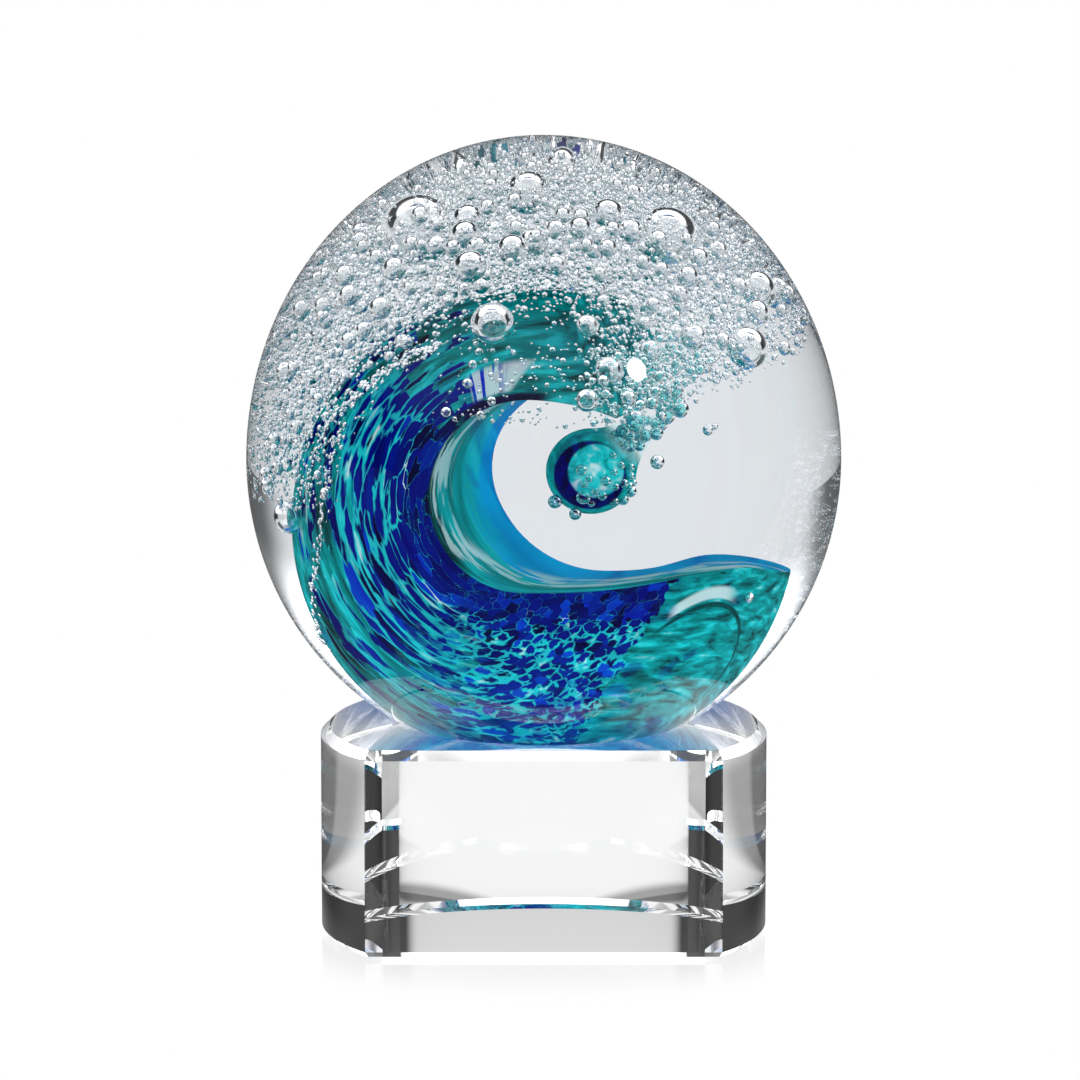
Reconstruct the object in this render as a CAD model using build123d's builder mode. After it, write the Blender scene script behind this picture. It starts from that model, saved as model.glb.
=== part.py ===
"""Glass wave sculpture: a solid glass ball with a coloured wave in it, bonded to a cut crystal base.

Millimetres, +Z up. The origin lies on the ball's axis, at the level that the base stands on. The base's
polished front flat faces -Y, and the wave rolls over from the left (-X) to the right (+X).
"""
import os
from math import cos, radians, sin, sqrt

from build123d import *

# Ball of clear glass: an egg, a little taller above its widest level than below it
BALL_RADIUS = 40.0
CROWN_RISE = 43.5
FOOT_DROP = 35.0
FOOT_RADIUS = 20.5
QUARTER_PULL = 0.5523  # how far a quarter ellipse's end tangents pull, as a share of its radius

# Crystal base: a round block with one polished flat in front
BASE_RADIUS = 30.0
BASE_HEIGHT = 28.0
FLAT_REACH = 18.3
TOP_BEVEL = 1.2
FOOT_BEVEL = 0.8

# Clear adhesive between the ball's ground foot and the base
BOND_THICKNESS = 0.2
BOND_MARGIN = 0.5

# Round core of coloured glass, below the ball's widest level
CORE_RADIUS = 22.3
CORE_SINK = 6.3

# Barrel of the wave: a hollow through the core, wider at its mouth in front than at its tail
BARREL_TURN = 13.0
BARREL_FLOOR = 5.2
BARREL_WALL = 8.3
MOUTH_RADIUS = 11.1
TAIL_RADIUS = 7.2
LIP_REACH = 13.0
LIP_TAIL_REACH = 3.0
LIP_DIP = 1.7

# Floor of the barrel: it swells to the right, and rounds off beyond the swell as a nose
SWELL_ACROSS = 29.5
SWELL_TAIL_ACROSS = 7.4
SWELL_RISE = 1.5
SWELL_START = 0.6  # share of the floor's width that stays low before it swells
NOSE_REACH = 13.0
NOSE_DROP = 6.7

# Crest of the wave: an arc over the lip, from its tip back to the top of the core
CREST_ACROSS = 2.0
CREST_BULGE = 1.5
CREST_TUCK = 3.0  # how far the cut above the crest dips into the barrel, beyond the lip's tip
CUT_MARGIN = 2.0  # how far the cuts through the core run past its round

# Layers of colour: the barrel's lining, and the cobalt chips on the front and left of the core
LINING_THICKNESS = 0.9
PATCH_DEPTH = 2.2
PATCH_BACK = 4.0
PATCH_EDGE = 14.0
PATCH_SLANT = 33.0
PATCH_TOP = 5.5
PATCH_FALL = 37.0

# Bubbled glass over the crest and the back of the wave
FOAM_RADIUS = 28.5
FOAM_RAISE = 4.0
FOAM_BACK = 4.0
FOAM_FRONT = 8.0
FOAM_LIFT = 9.0
FOAM_TILT = 17.0

# Larger air bubbles under the round of the bubbled glass: degrees to the right of its front,
# degrees up from its level, and radius
BUBBLE_COVER = 0.5
BUBBLES = (
    (109, 63, 2.9),
    (-169, 75, 2.0),
    (-124, 60, 3.2),
    (-42, 65, 1.75),
    (-24, 73, 1.6),
    (-76, 56, 1.3),
    (101, 77, 1.5),
    (175, 58, 1.2),
    (101, 42, 1.9),
)

# Drop that hangs from the lip into the barrel
DROP_RADIUS = 4.3
DROP_ACROSS = 4.5
DROP_FORWARD = 5.0
DROP_LIFT = 6.2
DROP_LENGTH = 16.0
DROP_NECK = 1.3
DROP_SHOULDER = 48.0
DROP_LEAN = 42.0

# Levels and places that follow from the sizes
foot_level = BASE_HEIGHT + BOND_THICKNESS
widest_level = foot_level + FOOT_DROP
core_level = widest_level - CORE_SINK
core_centre = Vector(0, 0, core_level)
foam_centre = core_centre + Vector(0, FOAM_BACK, FOAM_RAISE)
bowl_drop = FOOT_DROP / sqrt(1 - (FOOT_RADIUS / BALL_RADIUS) ** 2)
base_axis = -(BASE_RADIUS - FLAT_REACH) / 2

# The barrel runs level, turned a little so that its tail ends to the right of its mouth
turn = radians(BARREL_TURN)
barrel_plane = Plane(core_centre, x_dir=(cos(turn), -sin(turn), 0), z_dir=(-sin(turn), -cos(turn), 0))
barrel_ends = (
    (CORE_RADIUS, MOUTH_RADIUS, LIP_REACH, SWELL_ACROSS),
    (-CORE_RADIUS, TAIL_RADIUS, LIP_TAIL_REACH, SWELL_TAIL_ACROSS),
)
outside = CORE_RADIUS + CUT_MARGIN

# Oblique faces where one layer of glass gives way to the next
patch_side = Plane(
    core_centre + Vector(PATCH_EDGE, 0, -BARREL_FLOOR),
    z_dir=(cos(radians(PATCH_SLANT)), 0, -sin(radians(PATCH_SLANT))),
)
patch_rear = Plane((0, PATCH_BACK, 0), z_dir=(0, 1, 0))
patch_top = Plane(
    core_centre + Vector(-PATCH_TOP, 0, 2 * MOUTH_RADIUS - BARREL_FLOOR),
    z_dir=(cos(radians(PATCH_FALL)), 0, sin(radians(PATCH_FALL))),
)
foam_front = Plane((0, -FOAM_FRONT, 0), z_dir=(0, 1, 0))
foam_hem = Plane(
    core_centre + Vector(0, 0, FOAM_LIFT),
    z_dir=(-sin(radians(FOAM_TILT)), 0, cos(radians(FOAM_TILT))),
)


def egg(level, radius, rise, drop):
    """Solid of revolution about the Z axis: two quarter ellipses that meet at the widest level."""
    top = level + rise
    bottom = level - drop
    pull = QUARTER_PULL
    with BuildPart() as solid:
        with BuildSketch(Plane.XZ):
            with BuildLine():
                Bezier((0, bottom), (pull * radius, bottom), (radius, level - pull * drop), (radius, level))
                Bezier((radius, level), (radius, level + pull * rise), (pull * radius, top), (0, top))
                Line((0, top), (0, bottom))
            make_face()
        revolve(axis=Axis.Z)
    return solid.part


def hollow(layer):
    """Barrel of the wave, grown into the core by a layer's thickness, and open on the right."""
    wall = BARREL_WALL + layer
    floor = -BARREL_FLOOR - layer
    with BuildPart() as solid:
        for offset, bore, reach, across in barrel_ends:
            radius = bore + layer
            middle = radius - wall
            top = floor + 2 * radius
            lip = (reach, top - LIP_DIP)
            start = middle + SWELL_START * (across - middle)
            swell = (across, floor + SWELL_RISE)
            nose = (across + NOSE_REACH, swell[1] - NOSE_DROP)
            with BuildSketch(barrel_plane.offset(offset)):
                with BuildLine():
                    Bezier((middle, floor), (start, floor), (start, swell[1]), swell)
                    TangentArc(swell, nose, tangent=(1, 0))
                    Line(nose, (nose[0], lip[1]))
                    Line((nose[0], lip[1]), lip)
                    TangentArc((middle, top), lip, tangent=(1, 0))
                    ThreePointArc((middle, floor), (-wall, floor + radius), (middle, top))
                make_face()
        loft(ruled=True)
    return solid.part


def above_crest():
    """Room over the lip and beyond its tip, where the core gives way to bubbled glass."""
    crown = (CREST_ACROSS, CORE_RADIUS)
    with BuildPart() as solid:
        for offset, bore, reach, _ in barrel_ends:
            tip = (reach, 2 * bore - BARREL_FLOOR - LIP_DIP)
            tuck = (outside, tip[1] - CREST_TUCK)
            with BuildSketch(barrel_plane.offset(offset)):
                with BuildLine():
                    SagittaArc(tip, crown, -CREST_BULGE)
                    Line(crown, (CREST_ACROSS, outside))
                    Line((CREST_ACROSS, outside), (outside, outside))
                    Line((outside, outside), tuck)
                    Line(tuck, tip)
                make_face()
        loft(ruled=True)
    return solid.part


# Whole forms that the pieces are cut from
ball = egg(widest_level, BALL_RADIUS, CROWN_RISE, bowl_drop)
core = Solid.make_sphere(CORE_RADIUS, Plane(core_centre))
barrel = hollow(0)
lined_barrel = hollow(LINING_THICKNESS)

# Coloured part of the core: round the barrel and under the crest
with BuildPart() as curl:
    add(core)
    add(barrel, mode=Mode.SUBTRACT)
    add(above_crest(), mode=Mode.SUBTRACT)

# Clear part of the core: inside the barrel
with BuildPart() as bore:
    add(core)
    add(barrel, mode=Mode.INTERSECT)

# Cap over the core, open in front and lower on the left than on the right
with BuildPart() as cap:
    with Locations(foam_centre):
        Sphere(FOAM_RADIUS)
    split(bisect_by=foam_front, keep=Keep.TOP)
    split(bisect_by=foam_hem, keep=Keep.TOP)
    add(curl.part, mode=Mode.SUBTRACT)
    add(bore.part, mode=Mode.SUBTRACT)

os.makedirs("parts", exist_ok=True)

# Cut crystal base, bevelled along every edge of its top and foot
with BuildPart() as crystal_base:
    with BuildSketch():
        with Locations((0, base_axis)):
            Circle(BASE_RADIUS)
        split(bisect_by=Plane((0, base_axis - FLAT_REACH, 0), z_dir=(0, 1, 0)), keep=Keep.TOP)
    extrude(amount=BASE_HEIGHT)
    chamfer(crystal_base.faces().sort_by(Axis.Z)[-1].edges(), TOP_BEVEL)
    chamfer(crystal_base.faces().sort_by(Axis.Z)[0].edges(), FOOT_BEVEL)
crystal_base.part.label = "crystal_base"
export_step(crystal_base.part, "parts/crystal_base.step")

# Adhesive film under the ball's foot
with BuildPart() as bond_film:
    with BuildSketch(Plane.XY.offset(BASE_HEIGHT)):
        Circle(FOOT_RADIUS - BOND_MARGIN)
    extrude(amount=BOND_THICKNESS)
bond_film.part.label = "bond_film"
export_step(bond_film.part, "parts/bond_film.step")

# Bubbled glass: the cap with its larger bubbles as voids
with BuildPart() as foam_mantle:
    add(cap.part)
    for aside, above, radius in BUBBLES:
        heading = radians(aside)
        climb = radians(above)
        aim = Vector(sin(heading) * cos(climb), -cos(heading) * cos(climb), sin(climb))
        with Locations(foam_centre + aim * (FOAM_RADIUS - BUBBLE_COVER - radius)):
            Sphere(radius, mode=Mode.SUBTRACT)
foam_mantle.part.label = "foam_mantle"
export_step(foam_mantle.part, "parts/foam_mantle.step")

# Cobalt chips: a skin on the front and left of the core, up to the barrel's lining
with BuildPart() as cobalt_patch:
    add(curl.part)
    with Locations(core_centre):
        Sphere(CORE_RADIUS - PATCH_DEPTH, mode=Mode.SUBTRACT)
    split(bisect_by=patch_rear, keep=Keep.BOTTOM)
    split(bisect_by=patch_side, keep=Keep.BOTTOM)
    split(bisect_by=patch_top, keep=Keep.BOTTOM)
    add(lined_barrel, mode=Mode.SUBTRACT)
cobalt_patch.part.label = "cobalt_patch"
export_step(cobalt_patch.part, "parts/cobalt_patch.step")

# Aqua layer on the inside of the barrel
with BuildPart() as aqua_lining:
    add(curl.part)
    add(lined_barrel, mode=Mode.INTERSECT)
aqua_lining.part.label = "aqua_lining"
export_step(aqua_lining.part, "parts/aqua_lining.step")

# Teal body of the wave: what is left of the curl
with BuildPart() as teal_wave:
    add(curl.part)
    add(lined_barrel, mode=Mode.SUBTRACT)
    add(cobalt_patch.part, mode=Mode.SUBTRACT)
teal_wave.part.label = "teal_wave"
export_step(teal_wave.part, "parts/teal_wave.step")

# Drop: a round bulb drawn out to a neck, which ends where it meets the bubbled glass
lean = radians(DROP_LEAN)
shoulder = radians(DROP_SHOULDER)
drop_plane = Plane(
    core_centre + Vector(DROP_ACROSS, -DROP_FORWARD, DROP_LIFT),
    x_dir=(cos(lean), 0, sin(lean)),
    z_dir=(0, -1, 0),
)
with BuildPart() as curl_drop:
    with BuildSketch(drop_plane):
        with BuildLine():
            bulb = CenterArc((0, 0), DROP_RADIUS, DROP_SHOULDER, 180 - DROP_SHOULDER)
            Spline(
                bulb @ 0,
                (DROP_LENGTH, DROP_NECK),
                tangents=((sin(shoulder), -cos(shoulder)), (1, 0)),
            )
            Line((DROP_LENGTH, DROP_NECK), (DROP_LENGTH, 0))
            Line((DROP_LENGTH, 0), (-DROP_RADIUS, 0))
        make_face()
    revolve(axis=Axis(drop_plane.origin, drop_plane.x_dir))
    add(bore.part, mode=Mode.INTERSECT)
curl_drop.part.label = "curl_drop"
export_step(curl_drop.part, "parts/curl_drop.step")

# Clear glass that fills the barrel round the drop
with BuildPart() as barrel_fill:
    add(bore.part)
    add(curl_drop.part, mode=Mode.SUBTRACT)
barrel_fill.part.label = "barrel_fill"
export_step(barrel_fill.part, "parts/barrel_fill.step")

# All the coloured and bubbled glass as one form, which leaves its room in the casing
with BuildPart() as heart:
    add(curl.part)
    add(bore.part)
    add(cap.part)

# Clear casing: the ball, ground flat at its foot, round its heart
with BuildPart() as clear_casing:
    add(ball)
    split(bisect_by=Plane.XY.offset(foot_level), keep=Keep.TOP)
    add(heart.part, mode=Mode.SUBTRACT)
clear_casing.part.label = "clear_casing"
export_step(clear_casing.part, "parts/clear_casing.step")
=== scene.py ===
"""Glass wave sculpture: a clear ball with a coloured wave and bubbles in it, on a crystal base."""
import math
import random
from collections import namedtuple

import bmesh
import bpy
from bpy.props import FloatProperty, FloatVectorProperty, IntProperty, PointerProperty
from mathutils import Matrix, Vector
from mathutils.bvhtree import BVHTree


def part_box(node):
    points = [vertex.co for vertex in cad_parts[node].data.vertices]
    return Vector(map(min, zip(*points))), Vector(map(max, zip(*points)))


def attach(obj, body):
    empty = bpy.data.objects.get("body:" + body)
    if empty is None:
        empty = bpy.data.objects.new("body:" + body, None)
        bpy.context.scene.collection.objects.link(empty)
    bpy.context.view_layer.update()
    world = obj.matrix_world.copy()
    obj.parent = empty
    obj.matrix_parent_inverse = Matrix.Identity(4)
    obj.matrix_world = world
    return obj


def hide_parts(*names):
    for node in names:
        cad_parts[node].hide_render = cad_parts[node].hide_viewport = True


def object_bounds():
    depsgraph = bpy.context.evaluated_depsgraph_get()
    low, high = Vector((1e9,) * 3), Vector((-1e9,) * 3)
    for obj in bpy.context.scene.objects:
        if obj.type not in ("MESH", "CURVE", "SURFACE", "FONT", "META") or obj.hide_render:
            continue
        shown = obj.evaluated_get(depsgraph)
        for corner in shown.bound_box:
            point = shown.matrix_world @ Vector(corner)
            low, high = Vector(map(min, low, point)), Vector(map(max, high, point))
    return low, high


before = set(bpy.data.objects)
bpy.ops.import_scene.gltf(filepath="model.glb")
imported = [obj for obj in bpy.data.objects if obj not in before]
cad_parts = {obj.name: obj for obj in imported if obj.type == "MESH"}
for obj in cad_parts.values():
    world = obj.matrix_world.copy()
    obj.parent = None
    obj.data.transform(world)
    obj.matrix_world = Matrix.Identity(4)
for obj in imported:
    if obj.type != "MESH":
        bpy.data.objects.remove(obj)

bl_info = {
    "name": "Glass wave sculpture",
    "version": (1, 0, 0),
    "blender": (4, 5, 0),
    "location": "3D View > Sidebar > Sculpture",
    "description": "Dresses a glass ball with a wave in it, bonded to a cut crystal base",
    "category": "Object",
}

MM = 0.001
BODY = "root"
CAD_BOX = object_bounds()
CASING_LOW, CASING_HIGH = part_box("clear_casing")
BASE_LOW, BASE_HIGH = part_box("crystal_base")
FOAM_LOW, FOAM_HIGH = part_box("foam_mantle")
FILM_LOW, FILM_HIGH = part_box("bond_film")
FLOOR_LEVEL = CAD_BOX[0][2] - 0.02 * MM
UPWARDS = Vector((0, 0, 1))

# Optics of the glass, of its coloured skins and of the faces where pieces are fused
GLASS_IOR = 1.5
CRYSTAL_IOR = 1.52
FUSED_IOR = 1.0
SKIN_IOR = 1.002
SKIN_ROUGHNESS = 0.2
MOST_BOUNCES = 40

# Gaps between touching faces, and the distance within which loose corners are one
CONTACT_GAP = 0.15 * MM
FILM_CLEARANCE = 0.02 * MM
WELD_DISTANCE = 0.002 * MM

# Fineness of the round pieces, and the angles past which their edges are sharp
BASE_SEGMENTS = 256
BALL_SEGMENTS, BALL_RINGS = 192, 128
FILM_SEGMENTS = 96
BASE_SHARP = math.radians(20)
BALL_SHARP = math.radians(30)
WAVE_SHARP = math.radians(25)

# Surroundings: strength as a glare, as fill light, and of the parts that show in the glass
GLARE = 0.1
FILL = 2.0
SKY_LEVEL = 3.0
FLAG_LEVEL = 0.2
RIM_LEVEL = 0.04
STRIP_LEVEL = 0.45
LAMP_LEVEL = 40.0
CEILING_COLOUR = (0.02, 0.035, 0.10)

# Where the surroundings change, as parts of a direction, and the lamp's soft edge
CEILING_EDGE = (0.76, 0.88)
FLAG_EDGE = (0.75, 0.92)
SKY_EDGE = (0.15, 0.42)
RIM_EDGE = (0.28, 0.42)
STRIP_FOOT = (0.20, 0.22)
STRIP_HEAD = (0.25, 0.27)
STRIP_BACK = (0.80, 0.88)
LAMP_EDGE = (1.2, 0.9)

# Floor: its gloss and painted blue shadow, and how far from the base its mirror, painted shade and dim part
# reach
FLOOR_HALF = 4.0
ACRYLIC_IOR = 1.35
ACRYLIC_ROUGHNESS = 0.08
# Colour and reach of the blue shadow painted on the floor under the ball
PAINTED_SHADOW_COLOUR = (0.04, 0.22, 0.70)
PAINTED_SHADOW_EDGE = (15 * MM, 28 * MM)
MIRROR_EDGE = (22 * MM, 44 * MM)
SHADE_RING_START = (30 * MM, 33 * MM)
SHADE_RING_END = (95 * MM, 125 * MM)
FAR_FLOOR = (150 * MM, 350 * MM)

# Painted shade seen only through the glass, in front of the base and beside a white lane widening behind it
SIDE_SHADE_LEVEL = 0.38
FRONT_SHADE_LEVEL = 0.55
LANE_START = 20 * MM
LANE_LEAST = 1 * MM
LANE_EDGE = (0.42, 0.70)
OUTER_SHADE_BANDS = (0.84, 0.92)
SHADE_BANDS_BEHIND = (-0.20, -0.05)
FRONT_SHADE_BAND = (0.2, 0.6)

# Kinds of bubbles: how many, and their smallest and largest radius
Kind = namedtuple("Kind", "count low high")
RIM_MEDIUM = Kind(60, 0.4 * MM, 0.8 * MM)
CREST_MEDIUM = Kind(40, 0.3 * MM, 0.7 * MM)
CREST_FINE = Kind(260, 0.12 * MM, 0.34 * MM)
CREST_BEADS = Kind(150, 0.14 * MM, 0.38 * MM)
LEFT_BEADS = Kind(120, 0.12 * MM, 0.34 * MM)
DROP_MEDIUM = Kind(20, 0.4 * MM, 1.15 * MM)
NECK_MEDIUM = Kind(32, 0.5 * MM, 1.4 * MM)
LIP_MEDIUM = Kind(50, 0.3 * MM, 0.8 * MM)
LIP_FINE = Kind(320, 0.12 * MM, 0.34 * MM)

# Smallest and largest radius of the bubbles whose number is a setting
LARGE_SIZES = (0.8 * MM, 1.5 * MM)
MEDIUM_SIZES = (0.42 * MM, 0.95 * MM)
FINE_SIZES = (0.13 * MM, 0.38 * MM)
RIM_SIZES = (0.14 * MM, 0.36 * MM)
CROWD_PITCH = 3.4 * MM

# Larger bubbles in the foam: degrees right of its front, degrees up, and radius in millimetres
FOAM_BUBBLES = (
    (109, 63, 2.9), (-169, 75, 2.0), (-124, 60, 3.2), (-42, 65, 1.75), (-24, 73, 1.6), (-76, 56, 1.3),
    (101, 77, 1.5), (175, 58, 1.2), (101, 42, 1.9),
)

# Single bubbles: across, back and up from the middle of the ball, and radius, in millimetres
SINGLE_BUBBLES = (
    (-5.3, -9.5, 16.6, 2.3), (20.5, -3, 12.5, 2.4), (15, -5, 14, 1.4), (10.8, -8, 13.2, 1.2),
    (6.8, -13, 12.2, 1.6), (4.7, -17, 9.8, 1.3), (4.5, -10, 16.5, 1.2), (9, -15, 9.6, 0.9),
    (-24, 2, -6, 1.6), (-23.5, 6, 7.5, 1.2), (-19, 1, 17, 1.2), (-21, 9.5, 12.5, 1.1),
    (-20.5, 5, 14.5, 1.0), (-18, 6.5, 17, 1.1), (-12.5, 18, 15, 0.8), (-13, 12, 18.5, 0.8),
    (-9.5, 15.5, 18.5, 0.8), (-5, 6.5, 23.5, 0.8), (3, 21, 18.5, 0.9), (-5, 20.5, 18, 0.9),
    (23.5, 1.5, 11.4, 0.8), (16.9, -9.6, 5, 0.6), (17.7, -9.6, 5.4, 0.35), (12.3, -17, 2.8, 0.8),
    (1.1, -9.5, -2.6, 0.7), (3.1, -9.5, -3.9, 0.6), (20.8, -6.3, -13.4, 0.6),
)

# Strings of beads on the outside of the wave: degrees right of its front and degrees up
CREST_STRING = ((-92, 24), (-84, 35), (-78, 45), (-71, 53), (-60, 60))
LEFT_STRING = ((-80, 26), (-77, 13), (-77, 2), (-83, -9), (-95, -20), (-112, -30))


def size_setting(name, description, default):
    """A length that a user may change."""
    return FloatProperty(name=name, description=description, default=default, unit="LENGTH")


def angle_setting(name, description, degrees):
    """An angle that a user may change."""
    return FloatProperty(
        name=name, description=description, default=math.radians(degrees), subtype="ANGLE")


def place_setting(name, description, default):
    """A place that a user may change."""
    return FloatVectorProperty(
        name=name, description=description, default=default, size=3, subtype="TRANSLATION",
        unit="LENGTH")


def colour_setting(name, description, default):
    """A colour that a user may change."""
    return FloatVectorProperty(
        name=name, description=description, default=default, size=3, subtype="COLOR")


def count_setting(name, description, default):
    """A whole number that a user may change."""
    return IntProperty(name=name, description=description, default=default)


class BallSettings(bpy.types.PropertyGroup):
    """Sizes of the clear ball and of the base under it."""

    radius: size_setting(
        "Ball radius", "Half the ball's width at its widest level", (CASING_HIGH.x - CASING_LOW.x) / 2)
    foot_drop: size_setting("Foot drop", "Widest level down to the ground foot", 35.0 * MM)
    foot_radius: size_setting("Foot radius", "Radius of the ground foot", 20.5 * MM)
    base_flat: size_setting(
        "Base flat", "Axis of the base's round wall to its polished front flat", 18.3 * MM)
    top_bevel: size_setting("Top bevel", "Bevel round the top of the base", 1.2 * MM)
    foot_bevel: size_setting("Foot bevel", "Bevel round the foot of the base", 0.8 * MM)


class GlassColours(bpy.types.PropertyGroup):
    """Colours of the glass."""

    clear: colour_setting("Clear glass", "Tint of the clear ball", (0.80, 0.83, 0.86))
    crystal: colour_setting("Crystal", "Tint of the base", (0.985, 0.988, 0.99))
    navy: colour_setting("Navy", "Darkest chips on the face of the wave", (0.0, 0.0, 0.03))
    cobalt: colour_setting("Cobalt", "Most of the chips on the face of the wave", (0.0, 0.002, 0.22))
    azure: colour_setting("Azure", "Palest chips on the face of the wave", (0.0, 0.03, 0.65))
    cyan: colour_setting("Cyan", "Web between the chips", (0.02, 0.50, 0.58))
    deep_teal: colour_setting("Deep teal", "Darkest streaks of the wave's body", (0.0, 0.06, 0.065))
    teal: colour_setting("Teal", "Body of the wave", (0.0, 0.30, 0.30))
    bright_teal: colour_setting("Bright teal", "Palest streaks of the wave's body", (0.01, 0.68, 0.70))
    ice: colour_setting("Ice", "White patches in the wave", (0.85, 1.0, 1.0))
    tail_blue: colour_setting("Tail blue", "Edge of the barrel's lining at its tail", (0.0, 0.45, 0.95))
    bubble_tint: colour_setting("Bubble tint", "Bubbles round the drop and the lip", (0.30, 0.80, 0.80))


class WaveSettings(bpy.types.PropertyGroup):
    """Sizes of the wave's core, its barrel and its drop."""

    core_radius: size_setting("Core radius", "Radius of the round core of coloured glass", 22.3 * MM)
    core_sink: size_setting("Core sink", "The ball's widest level down to the core's centre", 6.3 * MM)
    barrel_turn: angle_setting("Barrel turn", "How far the barrel's tail swings to the right", 13)
    barrel_floor: size_setting("Barrel floor", "Core's centre down to the barrel's floor", 5.2 * MM)
    chips_edge: size_setting(
        "Chips edge", "Core's axis to the right end of the chips at the floor", 14.0 * MM)
    chips_slant: angle_setting("Chips slant", "Slant of the chips' right edge", 33)
    drop_radius: size_setting("Drop radius", "Radius of the drop's bulb", 4.3 * MM)
    drop_place: place_setting(
        "Drop place", "Middle of the drop's bulb, from the core's centre", (4.5 * MM, -5.0 * MM, 6.2 * MM))
    drop_lean: angle_setting("Drop lean", "Slope of the drop's neck", 42)
    clarity: FloatProperty(
        name="Clarity", description="Share of light that passes a coloured skin",
        default=0.45, subtype="FACTOR")


class FoamSettings(bpy.types.PropertyGroup):
    """Size of the bubbled glass and number of its bubbles."""

    radius: size_setting("Foam radius", "Radius of the foam's round", 28.5 * MM)
    place: place_setting(
        "Foam place", "Middle of the foam's round, from the core's centre", (0, 4.0 * MM, 4.0 * MM))
    cover: size_setting("Bubble cover", "Glass over the larger bubbles", 0.5 * MM)
    large_count: count_setting("Large bubbles", "Large bubbles spread under the foam's round", 50)
    medium_count: count_setting("Medium bubbles", "Number of medium bubbles in the foam", 420)
    fine_count: count_setting("Fine bubbles", "Number of fine bubbles in the foam", 8500)
    rim_count: count_setting("Rim bubbles", "Number of bubbles at the foam's back rim", 2200)
    seed: count_setting("Seed", "Seed of the bubbles' places", 7)


class StudioSettings(bpy.types.PropertyGroup):
    """Camera, floor and light."""

    elevation: angle_setting("Camera elevation", "Height of the camera above the horizon", 10.8)
    distance: size_setting("Camera distance", "Camera to the middle of the view", 1.0)
    frame_width: size_setting("Frame width", "Width of the picture at the sculpture", 145.6 * MM)
    aim_height: size_setting("Aim height", "Height of the point at the middle of the picture", 52.0 * MM)
    aim_across: size_setting(
        "Aim across", "Sideways place of the point at the middle of the picture", -0.5 * MM)
    lamp_way: FloatVectorProperty(
        name="Lamp direction", description="Direction of the small lamp that glints on the ball",
        default=(0.574, -0.62, 0.54), size=3, subtype="DIRECTION")
    lamp_spread: angle_setting("Lamp spread", "Angle from the lamp's middle to its edge", 3.4)


Settings = namedtuple("Settings", "ball colours wave foam studio")


def settings():
    """All the settings of the sculpture, from the scene."""
    scene = bpy.context.scene
    return Settings(
        scene.sculpture_ball, scene.sculpture_colours, scene.sculpture_wave, scene.sculpture_foam,
        scene.sculpture_studio)


def ball_middle():
    """Middle of the ball, at its widest level."""
    return Vector((0, 0, CASING_LOW.z + settings().ball.foot_drop))


def core_middle():
    """Middle of the wave's round core."""
    return ball_middle() - UPWARDS * settings().wave.core_sink


def drop_middle():
    """Middle of the drop's bulb."""
    return core_middle() + Vector(settings().wave.drop_place)


def aim(aside, above):
    """Direction at degrees to the right of the front and degrees up."""
    heading = math.radians(aside)
    climb = math.radians(above)
    return Vector((
        math.sin(heading) * math.cos(climb), -math.cos(heading) * math.cos(climb), math.sin(climb)))


def new_object(name, bm, material_list, replaced=()):
    """Turn a bmesh into a piece that rides on the sculpture and stands for its solids."""
    mesh = bpy.data.meshes.new(name)
    bm.to_mesh(mesh)
    bm.free()
    piece = bpy.data.objects.new(name, mesh)
    bpy.context.collection.objects.link(piece)
    for material in material_list:
        mesh.materials.append(material)
    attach(piece, BODY)
    if replaced:
        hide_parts(*replaced)
    return piece


def glass(name, colour, ior, roughness=0.0, transmission=1.0):
    """Plain glass with its numbers on the shader's own sockets."""
    material = bpy.data.materials.new(name)
    material.use_nodes = True
    shader = material.node_tree.nodes["Principled BSDF"]
    shader.inputs["Base Color"].default_value = (*colour, 1.0)
    shader.inputs["Roughness"].default_value = roughness
    shader.inputs["IOR"].default_value = ior
    shader.inputs["Transmission Weight"].default_value = transmission
    return material


def dress(node, material):
    """Give a carried-over solid its material."""
    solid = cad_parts[node]
    solid.data.materials.clear()
    solid.data.materials.append(material)


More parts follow.
